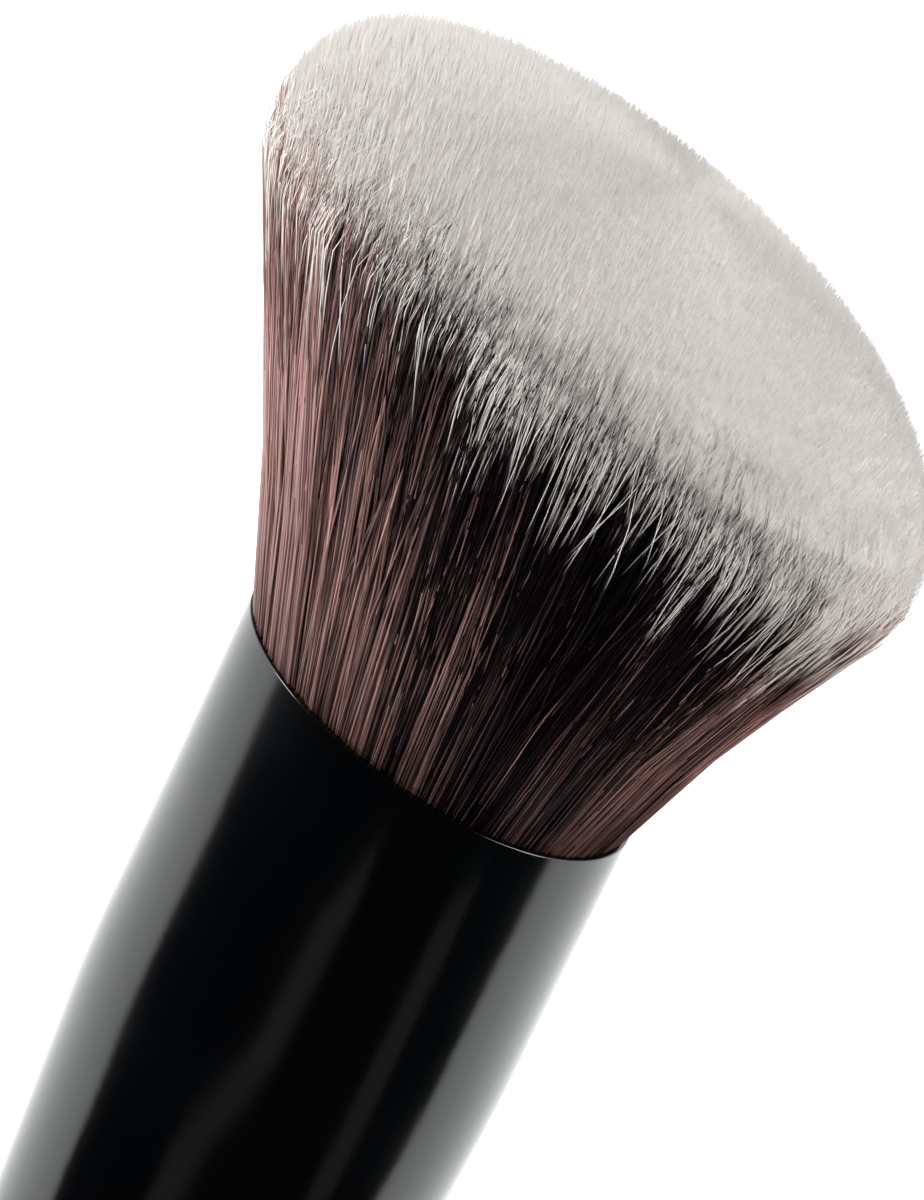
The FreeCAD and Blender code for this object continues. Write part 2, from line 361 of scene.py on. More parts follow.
def laid_strands(name, paths, thick, past_border, tone):
    """Copies of the pattern strand bent along paths, with a map of tone across and length up.

    paths is strands x stations x 3 and ends at the tips, thick and past_border, the length past
    the colour border, are strands x stations, and tone is from 0 to 1 for each strand.
    """
    count, stations = paths.shape[:2]
    places, faces = strand_pattern(stations - 1)
    step = np.gradient(paths, axis=1)
    step /= np.linalg.norm(step, axis=2, keepdims=True)
    outward = paths * np.array([0.0, 1.0, 1.0])
    outward -= step * np.sum(outward * step, axis=2, keepdims=True)
    outward /= np.maximum(np.linalg.norm(outward, axis=2, keepdims=True), 1e-9)
    aside = np.cross(step, outward)
    ring = np.rint(places[:, 2]).astype(int)
    tip = ring == stations - 1
    across = np.where(tip, 0.0, places[:, 0])
    beside = np.where(tip, 0.0, places[:, 1])
    points = paths[:, ring] + thick[:, ring, None] * (
        across[:, None] * outward[:, ring] + beside[:, None] * aside[:, ring])
    one = np.array([corner for face in faces for corner in face])
    loops = (one[None, :] + len(places) * np.arange(count)[:, None]).ravel()
    piece = mesh_object(name, points.reshape(-1, 3), loops, [len(face) for face in faces] * count)
    column = (np.floor(np.clip(tone, 0.0, TOP_TONE) * TONES) + 0.5) / TONES
    wide = column[:, None] + beside[None, :] * COLUMN_FILL / TONES
    along = np.clip(0.5 + past_border / ALONG_SPAN, 0.0, 1.0)
    spots = np.stack([wide, along[:, ring]], axis=-1)[:, one]
    layer = piece.data.uv_layers.new(name="OFBake")
    layer.data.foreach_set("uv", spots.astype(np.float32).ravel())
    piece.data.polygons.foreach_set("use_smooth", np.ones(len(piece.data.polygons), bool))
    piece.data.transform(TO_FRAME)
    return piece


def finished(piece, material, slot, *nodes):
    """Dress a piece, let it ride with the brush and hide the solids that it stands for."""
    piece.data.materials.clear()
    piece.data.materials.append(material)
    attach(piece, "root")
    if nodes:
        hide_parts(*nodes)


def by_side(name, strands, material, slot, *nodes):
    """One mesh of strands for each of the head's four sides."""
    tips = strands[0][:, -1] - np.array([0.0, LEAN, 0.0])
    turn = np.arctan2(tips[:, 2] / HALF_THICKNESS, -tips[:, 1] / HALF_WIDTH)
    quarter = np.floor(np.mod(turn + math.pi / 4.0, 2.0 * math.pi) / (math.pi / 2.0)).astype(int)
    for index, side in enumerate(("short_side", "upper_side", "long_side", "lower_side")):
        chosen = [part[quarter == index] for part in strands]
        finished(laid_strands(f"{name}_{side}", *chosen), material, slot, *nodes)


def even_angles(rng, count):
    """Angles spread evenly by length round the bundle's widest outline."""
    fine = np.linspace(0.0, 2.0 * math.pi, 2001)
    pace = np.hypot(HALF_WIDTH * np.sin(fine), HALF_THICKNESS * np.cos(fine))
    length = np.concatenate([[0.0], np.cumsum((pace[1:] + pace[:-1]) / 2.0)])
    return np.interp(rng.uniform(0.0, length[-1], count), length, fine)


def flank_layer(rng, settings, strands, clumps, waver, radius, depth, lift, wedge, browner):
    """Strands of one layer of the flank, drawn together into clumps towards their tips.

    The middle strand of a clump turns pale first and the outer ones later. Past the flank the
    outer strands bend in and lie along the crown.
    """
    count = round(strands * settings.flank_strands)
    clumps = round(clumps * settings.clumps)
    waver = waver * settings.waver
    clump_angle = even_angles(rng, clumps)
    clump_out = rng.uniform(*depth, clumps)
    clump_sway = rng.normal(0.0, waver, clumps)
    clump_border = rng.normal(0.0, CLUMP_BORDER_SCATTER + WEDGE_SCATTER * wedge, clumps)
    # The tone by angle carries the painted shade of the broad sides
    clump_tone = shaded_tone(clump_angle) + browner + rng.normal(0.0, CLUMP_TONE_SCATTER, clumps)
    pick = rng.integers(0, clumps, count)
    aside = rng.normal(0.0, 1.0, count)
    angle = clump_angle[pick] + CLUMP_SPREAD * aside
    out = np.clip(clump_out[pick] + rng.normal(0.0, OUT_SCATTER, count), *OUT_LIMITS)
    border = (border_level(angle) + lift + clump_border[pick] + wedge * np.abs(aside)
              + rng.normal(0.0, BORDER_SCATTER, count))
    end = tip_level(out - rng.uniform(*END_SCATTER, count)) + loose_reach(out, angle)
    end = np.maximum(end, border_level(angle) + SHORTEST_PAST_BORDER)
    border = np.minimum(border, end - rng.gamma(PALE_END_SHAPE, PALE_END, count))
    run = STATIONS ** rng.uniform(*STATION_BIAS, count)[:, None]
    level = ROOT_LEVEL + (end - ROOT_LEVEL)[:, None] * run
    grown = np.clip(level / FLANK_LENGTH, 0.0, 1.5)
    gather = rng.uniform(*CLUMP_GATHER, count)[:, None] * eased(grown)
    sway = clump_sway[pick] + rng.normal(0.0, waver, count)
    ripple = rng.normal(0.0, RIPPLE * waver, count)[:, None]
    phase = rng.uniform(0.0, 2.0 * math.pi, count)[:, None]
    wave = ripple * np.sin(grown * RIPPLE_TURNS + phase) * np.minimum(grown, 1.0)
    bend = sway[:, None] * grown ** 2 + wave
    angles = angle[:, None] + (clump_angle[pick] - angle)[:, None] * gather + bend
    outs = out[:, None] + (clump_out[pick] - out)[:, None] * gather * CLUMP_GATHER_OUT
    near_skin = rng.uniform(-SKIN_SCATTER, SKIN_SCATTER, count)[:, None]
    skin = skin_share(level) + near_skin - TIP_TUCK * run ** 12
    outs = np.where(level > BEND_IN_FROM * FLANK_LENGTH, np.minimum(outs, skin), outs)
    tone = clump_tone[pick] + rng.normal(0.0, TONE_SCATTER, count)
    thinned = 1.0 - THINNER_BY * eased((run - THINNER_FROM) / (1.0 - THINNER_FROM))
    thick = radius * settings.radius * rng.uniform(*FLANK_THICKNESS, count)[:, None] * thinned
    return in_bundle(level, angles, outs), thick, level - border[:, None], tone


def crown_layer(rng, count, radius):
    """Tips of the inner strands, which stand close together and make the slanted dome."""
    out = np.sqrt(rng.random(count)) * rng.uniform(*SPIKE_PUSH, count)
    angle = rng.uniform(0.0, 2.0 * math.pi, count)
    end = tip_level(out) + loose_reach(out, angle) + rng.normal(SPIKE_END, SPIKE_END_SCATTER, count)
    run = np.array([0.0, 1.0])
    level = end[:, None] - rng.uniform(*SPIKE_LENGTH, count)[:, None] * MM * (1.0 - run)
    angles = angle[:, None] + rng.normal(0.0, SPIKE_LEAN, count)[:, None] * run
    outs = out[:, None] + rng.normal(0.0, SPIKE_SLIP, count)[:, None] * run
    border = border_level(angle) + rng.normal(SPIKE_BORDER_LIFT, SPIKE_BORDER_SCATTER, count)
    tone = shaded_tone(angle) + rng.normal(0.0, TONE_SCATTER, count)
    thick = radius * rng.uniform(*SPIKE_THICKNESS, count)[:, None] * (1.0 - run)
    return in_bundle(level, angles, outs), thick, level - border[:, None], tone


def stray_layer(rng, count, radius, ends, shift):
    """Single strands that have come loose from their clumps and cross their neighbours."""
    angle = even_angles(rng, count)
    out = rng.uniform(*STRAY_OUT, count)
    run = np.linspace(0.0, 1.0, STRAY_STATIONS)
    start = rng.uniform(*STRAY_START, count) * MM
    end = border_level(angle) + rng.uniform(*ends, count) * MM
    level = start[:, None] + (end - start)[:, None] * run
    sway = rng.normal(0.0, STRAY_SWAY, count)[:, None]
    curl = rng.normal(0.0, STRAY_CURL, count)[:, None]
    phase = rng.uniform(0.0, 2.0 * math.pi, count)[:, None]
    angles = angle[:, None] + sway * run ** 1.5 + curl * np.sin(run * STRAY_CURL_TURNS + phase)
    over_skin = skin_share(level) + rng.uniform(*STRAY_OVER_SKIN, count)[:, None] * run
    outs = np.minimum(out[:, None] - STRAY_ROOT_TUCK * (1.0 - run) ** 2, over_skin)
    border = border_level(angle) + rng.uniform(*shift, count) * MM
    tone = STRAY_TONE_SHARE * shaded_tone(angle) + rng.uniform(*STRAY_TONE_ADDED, count)
    thick = radius * rng.uniform(*STRAY_THICKNESS, count)[:, None] * (1.0 - STRAY_THINNER_BY * run)
    return in_bundle(level, angles, outs), thick, level - border[:, None], tone


def packed_core(name):
    """The close-packed inside of the bundle: a ball drawn out to the bundle's own form."""
    bpy.ops.object.select_all(action="DESELECT")
    bpy.ops.mesh.primitive_uv_sphere_add(segments=192, ring_count=96, radius=1.0)
    piece = bpy.context.active_object
    piece.name = piece.data.name = name
    places = np.array([vertex.co[:] for vertex in piece.data.vertices])
    # The lowest third of the ball makes the foot, the middle third the flank and the rest the dome
    climb = (np.arcsin(np.clip(places[:, 2], -1.0, 1.0)) / math.pi + 0.5) * 3.0
    angle = np.arctan2(places[:, 1], places[:, 0])
    foot, rise, dome = (np.clip(climb - third, 0.0, 1.0) for third in (0.0, 1.0, 2.0))
    full = CORE_SHARE + CORE_SWELL
    side = CORE_SHARE + (full - CORE_SHARE) * eased(rise)
    top = full * np.cos(dome * math.pi / 2.0)
    outs = np.select([climb < 1.0, climb < 2.0], [CORE_SHARE * foot, side], top)
    shoulder = tip_level(full) - CORE_TUCK
    flank = CORE_FOOT + (shoulder - CORE_FOOT) * rise
    level = np.where(climb < 2.0, flank, tip_level(np.clip(outs, 0.0, 1.0)) - CORE_TUCK)
    points = in_bundle(level, angle, outs)
    piece.data.vertices.foreach_set("co", points.astype(np.float32).ravel())
    faced_out(piece)
    bpy.ops.object.shade_smooth()
    piece.data.transform(TO_FRAME)
    return piece


def turned(name, outline):
    """Spin an outline of (along the axis, radius) points round the brush's axis."""
    mesh = bpy.data.meshes.new(name)
    edges = [(start, start + 1) for start in range(len(outline) - 1)]
    mesh.from_pydata([(x, 0.0, radius) for x, radius in outline], edges, [])
    piece = bpy.data.objects.new(name, mesh)
    bpy.context.scene.collection.objects.link(piece)
    only(piece)
    bpy.ops.object.mode_set(mode="EDIT")
    bpy.ops.mesh.select_all(action="SELECT")
    bpy.ops.mesh.spin(steps=SPIN_STEPS, angle=2.0 * math.pi, center=(0.0, 0.0, 0.0), axis=(1.0, 0.0, 0.0))
    bpy.ops.mesh.select_all(action="SELECT")
    bpy.ops.mesh.remove_doubles(threshold=0.1 * TOUCH)
    bpy.ops.object.mode_set(mode="OBJECT")
    faced_out(piece)
    return piece


def rounded(piece, on_edge, width, segments):
    """Round the edges whose two ends both pass a test of place."""
    only(piece)
    bpy.ops.object.mode_set(mode="EDIT")
    bpy.ops.mesh.select_mode(type="EDGE")
    bpy.ops.mesh.select_all(action="DESELECT")
    bpy.ops.object.mode_set(mode="OBJECT")
    mesh = piece.data
    passes = [on_edge(vertex.co) for vertex in mesh.vertices]
    for edge in mesh.edges:
        edge.select = passes[edge.vertices[0]] and passes[edge.vertices[1]]
    if not any(edge.select for edge in mesh.edges):
        raise RuntimeError(f"no edge of {piece.name} to round")
    bpy.ops.object.mode_set(mode="EDIT")
    bpy.ops.mesh.bevel(offset=width, segments=segments, profile=0.5, affect="EDGES")
    bpy.ops.object.mode_set(mode="OBJECT")


def wall_line(inset):
    """The ferrule's wall from in front of the mouth to its back: straight, a long arc, a cone."""
    radius = FERRULE_BLEND - inset
    line = [(MOUTH_RADIUS * 0.5, MOUTH_RADIUS - inset), (-FERRULE_STRAIGHT * 0.5, MOUTH_RADIUS - inset)]
    for turn in np.linspace(0.0, FERRULE_TAPER, ARC_STEPS):
        line.append((-FERRULE_STRAIGHT - radius * math.sin(turn),
                     MOUTH_RADIUS - FERRULE_BLEND + radius * math.cos(turn)))
    last_x, last_r = line[-1]
    run = FERRULE_LENGTH + last_x
    for share in (0.5, 1.0):
        line.append((last_x - share * run, last_r - share * run * math.tan(FERRULE_TAPER)))
    return line


def back_radius(inset):
    """Radius of the ferrule's wall at its back."""
    return wall_line(inset)[-1][1]


def ferrule_tube(lip_round):
    """The ferrule: a spun wall cut off on a slant at the mouth, with a rounded lip."""
    piece = turned("ferrule_tube", wall_line(0.0) + wall_line(FERRULE_WALL)[::-1])
    slope = math.tan(MOUTH_SLANT)
    bpy.ops.object.mode_set(mode="EDIT")
    bpy.ops.mesh.select_all(action="SELECT")
    bpy.ops.mesh.bisect(plane_co=(0.0, 0.0, 0.0), plane_no=(1.0, -slope, 0.0), clear_outer=True)
    bpy.ops.mesh.select_mode(type="EDGE")
    bpy.ops.mesh.select_all(action="DESELECT")
    bpy.ops.mesh.select_non_manifold()
    bpy.ops.mesh.bridge_edge_loops()
    bpy.ops.object.mode_set(mode="OBJECT")
    faced_out(piece)

    def outside_wall(place, wall_radius):
        return math.hypot(place.y, place.z) > wall_radius

    def at_mouth(place):
        return abs(place.x - slope * place.y) < TOUCH

    def at_back(place):
        return abs(place.x + FERRULE_LENGTH) < TOUCH

    wall_middle = MOUTH_RADIUS - FERRULE_WALL / 2.0
    back_edge = back_radius(0.0) - 0.1 * MM
    rounded(piece, lambda place: at_mouth(place) and outside_wall(place, wall_middle),
            width=lip_round, segments=5)
    rounded(piece, lambda place: at_mouth(place) and not outside_wall(place, wall_middle),
            width=0.5 * lip_round, segments=3)
    rounded(piece, lambda place: at_back(place) and outside_wall(place, back_edge),
            width=BACK_ROUND, segments=3)
    only(piece)
    bpy.ops.object.shade_smooth_by_angle(angle=math.radians(40.0))
    piece.data.transform(TO_FRAME)
    return piece


def turned_handle():
    """The handle: it leaves the ferrule along its cone and bends until the tail runs straight."""
    tail_end = HANDLE_TIP - MOUTH_X
    tail_front = -MOUTH_X
    curve_radius = (-FERRULE_LENGTH - tail_front) / math.sin(FERRULE_TAPER)
    line = []
    for turn in np.linspace(0.0, math.pi / 2.0, 20):
        line.append((tail_end + TAIL_RADIUS * (1.0 - math.cos(turn)), TAIL_RADIUS * math.sin(turn)))
    for turn in np.linspace(0.0, FERRULE_TAPER, 40):
        line.append((tail_front + curve_radius * math.sin(turn),
                     TAIL_RADIUS + curve_radius * (1.0 - math.cos(turn))))
    edge_x, edge_r = line.pop()
    corner = 0.3 * SHOULDER_ROUND
    line += [(edge_x - SHOULDER_ROUND, edge_r), (edge_x - corner, edge_r - corner),
             (edge_x, edge_r - SHOULDER_ROUND)]
    tenon = back_radius(FERRULE_WALL) - GLUE_GAP
    tenon_end = -FERRULE_LENGTH + TENON_LENGTH
    line += [(edge_x, tenon), (tenon_end - TENON_CORNER, tenon), (tenon_end, tenon - TENON_CORNER),
             (tenon_end, 0.0)]
    piece = turned("turned_handle", line)
    bpy.ops.object.shade_smooth_by_angle(angle=math.radians(35.0))
    piece.data.transform(TO_FRAME)
    return piece


def principled(name):
    """A new material with its node tree and its shader."""
    material = bpy.data.materials.new(name)
    material.use_nodes = True
    return material, material.node_tree, material.node_tree.nodes["Principled BSDF"]


def feed(tree, value, socket):
    """Give an input a number or a colour, or link another node's output to it."""
    if isinstance(value, bpy.types.NodeSocket):
        tree.links.new(value, socket)
    elif isinstance(value, float):
        socket.default_value = value
    else:
        socket.default_value = (*value, 1.0)


def reckoned(tree, operation, *values, clamp=False):
    """The result of one sum on values that are sockets or numbers."""
    node = tree.nodes.new("ShaderNodeMath")
    node.operation = operation
    node.use_clamp = clamp
    for value, socket in zip(values, node.inputs):
        feed(tree, value, socket)
    return node.outputs[0]


def ranged(tree, source, span, new_span):
    """A value turned from one span into another, and kept inside it."""
    node = tree.nodes.new("ShaderNodeMapRange")
    for name, value in zip(("From Min", "From Max", "To Min", "To Max"), (*span, *new_span)):
        node.inputs[name].default_value = value
    tree.links.new(source, node.inputs["Value"])
    return node.outputs["Result"]


def object_place(tree):
    """The place on the brush, in the frame."""
    return tree.nodes.new("ShaderNodeTexCoord").outputs["Object"]


def mapped(tree, vector, kind="POINT", **changes):
    """A place moved, turned or stretched."""
    node = tree.nodes.new("ShaderNodeMapping")
    node.vector_type = kind
    for name, value in changes.items():
        node.inputs[name].default_value = value
    tree.links.new(vector, node.inputs["Vector"])
    return node.outputs["Vector"]


def parted(tree, vector):
    """The X, Y and Z of a vector."""
    node = tree.nodes.new("ShaderNodeSeparateXYZ")
    tree.links.new(vector, node.inputs[0])
    return node.outputs


def noise(tree, vector, scale, detail, dimensions="3D"):
    """A soft random pattern."""
    node = tree.nodes.new("ShaderNodeTexNoise")
    node.noise_dimensions = dimensions
    node.inputs["Scale"].default_value = scale
    node.inputs["Detail"].default_value = detail
    tree.links.new(vector, node.inputs["Vector"])
    return node.outputs["Fac"]


def bumped(tree, shader, height, strength, distance):
    """Give a shader a fine relief."""
    bump = tree.nodes.new("ShaderNodeBump")
    bump.inputs["Strength"].default_value = strength
    bump.inputs["Distance"].default_value = distance
    tree.links.new(height, bump.inputs["Height"])
    tree.links.new(bump.outputs["Normal"], shader.inputs["Normal"])


def shaded(colour, times):
    """A colour made lighter or darker."""
    return tuple(times * part for part in colour)


def blended(tree, share, first, second):
    """Two colours, each a socket or a plain colour, blended by a share."""
    mix = tree.nodes.new("ShaderNodeMix")
    mix.data_type = "RGBA"
    for value, name in ((share, "Factor"), (first, "A"), (second, "B")):
        feed(tree, value, mix.inputs[name])
    return mix.outputs["Result"]


def fibre_dye_and_shade(brown, pale):
    """Strands brown up to the colour border and pale past it, each tone a little different, with painted
    shade in black on the broad sides and along the gaps between strands.
    """
    material, tree, shader = principled("fibre_dye_and_shade")
    node = tree.nodes.new("ShaderNodeUVMap")
    node.uv_map = "OFBake"
    spot = node.outputs["UV"]
    tone, along, _ = parted(tree, spot)
    stretched = mapped(tree, spot, Scale=(TONES, 7.0, 1.0))
    streak = noise(tree, stretched, scale=1.0, detail=3.0, dimensions="2D")
    # Dye and painted shade: the darker a strand's tone, the further down from the border it is nearly black
    climb = ranged(tree, along, (0.05, 0.5), BLACK_SHARE)
    dark = reckoned(tree, "MULTIPLY_ADD", tone, -TONE_LIGHTENS, climb, clamp=True)
    lightest = ranged(tree, streak, (0.3, 0.45), (1.0, 0.0))
    light = blended(tree, lightest, shaded(brown, 0.78), shaded(brown, 1.2))
    # Painted shade: black streaks along the strands for the shade in the gaps between them, fewer where the
    # tone is light
    gap_shade = reckoned(tree, "MULTIPLY", ranged(tree, streak, (0.42, 0.64), (0.0, 0.84)),
                   ranged(tree, tone, (0.6, 1.0), (1.0, 0.35)))
    streaked = blended(tree, gap_shade, blended(tree, dark, light, BLACK_DYE_AND_SHADE), BLACK_DYE_AND_SHADE)
    tips = blended(tree, streak, shaded(pale, 0.85), shaded(pale, 1.0))
    blur = BORDER_BLUR / ALONG_SPAN
    past = ranged(tree, along, (0.5 - blur, 0.5 + blur), (0.0, 1.0))
    tree.links.new(blended(tree, past, streaked, tips), shader.inputs["Base Color"])
    tree.links.new(ranged(tree, streak, NOISE_SPAN, (0.38, 0.58)), shader.inputs["Roughness"])
    bumped(tree, shader, streak, strength=0.15, distance=0.03 * MM)
    shader.inputs["Specular IOR Level"].default_value = 0.3
    return material


def packed_fibre_shade(brown, pale):
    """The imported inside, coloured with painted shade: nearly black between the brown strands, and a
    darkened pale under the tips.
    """
    material, tree, shader = principled("packed_fibre_shade")
    place = object_place(tree)
    own = mapped(tree, place, "TEXTURE", Location=MOUTH_CENTRE, Rotation=(0.0, -LIE_ANGLE, 0.0))
    ahead, sideways, _ = parted(tree, own)
    squared = reckoned(tree, "MULTIPLY", sideways, sideways)
    # The border follows the crown's slant, lies further back at the narrow sides, and is ragged
    bow = 3.0 * MM / (16.5 * MM) ** 2
    ragged = 5.0 * MM
    level = reckoned(tree, "MULTIPLY_ADD", sideways, -math.tan(CROWN_SLANT), ahead)
    level = reckoned(tree, "MULTIPLY_ADD", squared, bow, level)
    streak = noise(tree, mapped(tree, own, Scale=(0.15, 1.0, 1.0)), scale=1500.0, detail=3.0)
    level = reckoned(tree, "MULTIPLY_ADD", streak, ragged, level)
    past = ranged(tree, level, (20.6 * MM, 23.4 * MM), (0.0, 1.0))
    grain = noise(tree, place, scale=7000.0, detail=2.0)
    clear_grain = ranged(tree, grain, NOISE_SPAN, (0.0, 1.0))
    # Painted shade: the pale under the tips is darkened for the shade among the packed tips
    tips = blended(tree, clear_grain, shaded(pale, 0.58), shaded(pale, 0.64))
    # Painted shade: nearly black in the middle of the broad sides, browner towards the narrow sides
    less_shade_to_narrow_sides = ranged(tree, squared, ((9.0 * MM) ** 2, (14.0 * MM) ** 2), (0.04, 0.35))
    roots = blended(tree, less_shade_to_narrow_sides, (0.0, 0.0, 0.0), shaded(brown, 1.0))
    tree.links.new(blended(tree, past, roots, tips), shader.inputs["Base Color"])
    tree.links.new(ranged(tree, grain, NOISE_SPAN, (0.6, 0.85)), shader.inputs["Roughness"])
    bumped(tree, shader, grain, strength=0.15, distance=0.03 * MM)
    return material


def black_gloss(name, colour, rough, grain):
    """Black gloss coat with the faint ripple that a sprayed or dipped coat keeps."""
    material, tree, shader = principled(name)
    place = object_place(tree)
    ripple = noise(tree, place, scale=grain, detail=2.0)
    smear = noise(tree, place, scale=90.0, detail=3.0)
    tree.links.new(ranged(tree, smear, NOISE_SPAN, (rough * 0.75, rough * 1.3)), shader.inputs["Roughness"])
    coat = blended(tree, smear, shaded(colour, 0.7), shaded(colour, 1.3))
    tree.links.new(coat, shader.inputs["Base Color"])
    bumped(tree, shader, ripple, strength=0.03, distance=0.2 * MM)
    shader.inputs["IOR"].default_value = 1.5
    return material


def set_adhesive():
    """Amber resin, cloudy where it set unevenly."""
    material, tree, shader = principled("set_adhesive")
    cloud = noise(tree, object_place(tree), scale=400.0, detail=3.0)
    amber = blended(tree, cloud, (0.42, 0.27, 0.1), (0.62, 0.47, 0.25))
    tree.links.new(amber, shader.inputs["Base Color"])
    tree.links.new(ranged(tree, cloud, NOISE_SPAN, (0.15, 0.4)), shader.inputs["Roughness"])
    bumped(tree, shader, cloud, strength=0.2, distance=0.3 * MM)
    return material


def wound_thread():
    """Cotton thread wound in close turns, shown by bands across the brush's axis."""
    material, tree, shader = principled("wound_thread")
    bands = tree.nodes.new("ShaderNodeTexWave")
    bands.inputs["Scale"].default_value = 350.0
    bands.inputs["Distortion"].default_value = 0.6
    turned_place = mapped(tree, object_place(tree), Rotation=(0.0, LIE_ANGLE, 0.0))
    tree.links.new(turned_place, bands.inputs["Vector"])
    cotton = blended(tree, bands.outputs["Fac"], (0.42, 0.4, 0.35), (0.74, 0.72, 0.66))
    tree.links.new(cotton, shader.inputs["Base Color"])
    shader.inputs["Roughness"].default_value = 0.85
    bumped(tree, shader, bands.outputs["Fac"], strength=0.6, distance=0.2 * MM)
    return material


def soft_light(name, place, target, size, radiance, along=(1.0, 0.0, 0.0)):
    """A rectangular light of a given brightness, facing a place, its length along a direction."""
    lamp = bpy.data.lights.new(name, "AREA")
    lamp.shape = "RECTANGLE"
    lamp.size, lamp.size_y = size
    lamp.energy = radiance * math.pi * size[0] * size[1]
    holder = bpy.data.objects.new(name, lamp)
    bpy.context.scene.collection.objects.link(holder)
    back = (Vector(place) - Vector(target)).normalized()
    side = Vector(along)
    side = (side - back * side.dot(back)).normalized()
    turn = Matrix((side, back.cross(side), back)).transposed().to_4x4()
    holder.matrix_world = Matrix.Translation(place) @ turn
    return holder


def camera_axes():
    """The photograph's right, up and towards-the-viewer directions in the frame."""
    turn = TO_FRAME.to_3x3()
    towards = turn @ Vector((math.sin(VIEW_TILT), 0.0, math.cos(VIEW_TILT)))
    across = turn @ Vector((0.0, -1.0, 0.0))
    along = turn @ Vector((math.cos(VIEW_TILT), 0.0, -math.sin(VIEW_TILT)))
    right = across * math.cos(VIEW_ROLL) + along * math.sin(VIEW_ROLL)
    up = -across * math.sin(VIEW_ROLL) + along * math.cos(VIEW_ROLL)
    return right, up, towards


def photo_camera(distance):
    """A camera that sees the brush as the photograph does, from a distance to its mouth."""
    right, up, towards = camera_axes()
    aside = (PHOTO_SIZE[0] / 2.0 - MOUTH_PIXEL[0]) / PHOTO_SCALE * MM
    above = (MOUTH_PIXEL[1] - PHOTO_SIZE[1] / 2.0) / PHOTO_SCALE * MM
    aim = MOUTH_CENTRE + right * aside + up * above
    data = bpy.data.cameras.new("photo_camera")
    data.sensor_width = SENSOR
    data.lens = SENSOR * distance / (PHOTO_SIZE[1] / PHOTO_SCALE * MM)
    data.clip_start = 0.01
    data.clip_end = 20.0
    camera = bpy.data.objects.new("photo_camera", data)
    bpy.context.scene.collection.objects.link(camera)
    turn = Matrix((right, up, towards)).transposed().to_4x4()
    camera.matrix_world = Matrix.Translation(aim + towards * distance) @ turn
    bpy.context.scene.camera = camera


def white_table(tone, glow):
    """A pale table that also gives light of its own, more beside the brush than past its tips."""
    bpy.ops.object.select_all(action="DESELECT")
    bpy.ops.mesh.primitive_plane_add(size=3.0, location=(0.0, 0.0, 0.0))
    floor = bpy.context.active_object
    floor.name = floor.data.name = "floor"
    material, tree, shader = principled("white_table")
    place = object_place(tree)
    fine = noise(tree, place, scale=300.0, detail=3.0)
    shader.inputs["Base Color"].default_value = (*tone, 1.0)
    tree.links.new(ranged(tree, fine, NOISE_SPAN, (0.75, 0.9)), shader.inputs["Roughness"])
    bumped(tree, shader, fine, strength=0.05, distance=0.1 * MM)
    shader.inputs["Emission Color"].default_value = (*GLOW_TINT, 1.0)
    beside = ranged(tree, parted(tree, place)["X"], TABLE_FADE, (1.0, 0.0))
    strength = reckoned(tree, "MULTIPLY_ADD", beside, glow - 1.0, TABLE_BASE_GLOW)
    tree.links.new(strength, shader.inputs["Emission Strength"])
    floor.data.materials.append(material)


def dim_room():
    """A nearly black room, so that the glossy coats mirror little but the lights and the table."""
    world = bpy.data.worlds.new("studio_room")
    world.use_nodes = True
    back = world.node_tree.nodes["Background"]
    back.inputs["Color"].default_value = (*ROOM_TINT, 1.0)
    back.inputs["Strength"].default_value = ROOM_GLOW
    bpy.context.scene.world = world


class BrushFibreSettings(bpy.types.PropertyGroup):
    flank_strands: IntProperty(
        name="Flank strands", description="Strands in a full layer of the flank",
        default=5000, min=200, max=6000)
    crown_strands: IntProperty(
        name="Crown strands", description="Strand tips on the slanted dome",
        default=60000, min=500, max=80000)
    clumps: IntProperty(
        name="Clumps", description="Clumps in a full layer of the flank",
        default=260, min=20, max=800)
    strays: IntProperty(
        name="Strays", description="Loose pale strands; a third as many dyed ones come with them",
        default=420, min=0, max=1000)
    radius: FloatProperty(
        name="Strand radius", description="Radius of a strand at its root",
        default=0.068 * MM, min=0.02 * MM, max=0.2 * MM, subtype="DISTANCE", unit="LENGTH", precision=6)
    waver: FloatProperty(
        name="Waver", description="How far the strands stray from straight lines, as a turn about the axis",
        default=math.radians(1.2), min=0.0, max=math.radians(10.0), subtype="ANGLE", unit="ROTATION")
    brown: FloatVectorProperty(
        name="Dyed length", description="Colour of the brown length of the strands",
        default=(0.49, 0.27, 0.243), size=3, min=0.0, max=1.0, subtype="COLOR")
    pale: FloatVectorProperty(
        name="Tips", description="Colour of the pale tips",
        default=(0.8, 0.762, 0.72), size=3, min=0.0, max=1.0, subtype="COLOR")
    seed: IntProperty(name="Seed", description="Start of the random numbers", default=11, min=0)


class BrushFerruleSettings(bpy.types.PropertyGroup):
    lip_round: FloatProperty(
        name="Lip rounding", description="Rounding of the mouth's outer edge",
        default=0.06 * MM, min=0.05 * MM, max=0.5 * MM, subtype="DISTANCE", unit="LENGTH", precision=5)
    enamel: FloatVectorProperty(
        name="Enamel", description="Colour of the ferrule's coat",
        default=(0.0006, 0.0009, 0.0012), size=3, min=0.0, max=1.0, subtype="COLOR")
    roughness: FloatProperty(
        name="Roughness", description="Roughness of the ferrule's coat",
        default=0.14, min=0.0, max=1.0, subtype="FACTOR")


class BrushHandleSettings(bpy.types.PropertyGroup):
    lacquer: FloatVectorProperty(
        name="Lacquer", description="Colour of the handle's coat",
        default=(0.001, 0.0012, 0.0015), size=3, min=0.0, max=1.0, subtype="COLOR")
    roughness: FloatProperty(
        name="Roughness", description="Roughness of the handle's coat",
        default=0.1, min=0.0, max=1.0, subtype="FACTOR")


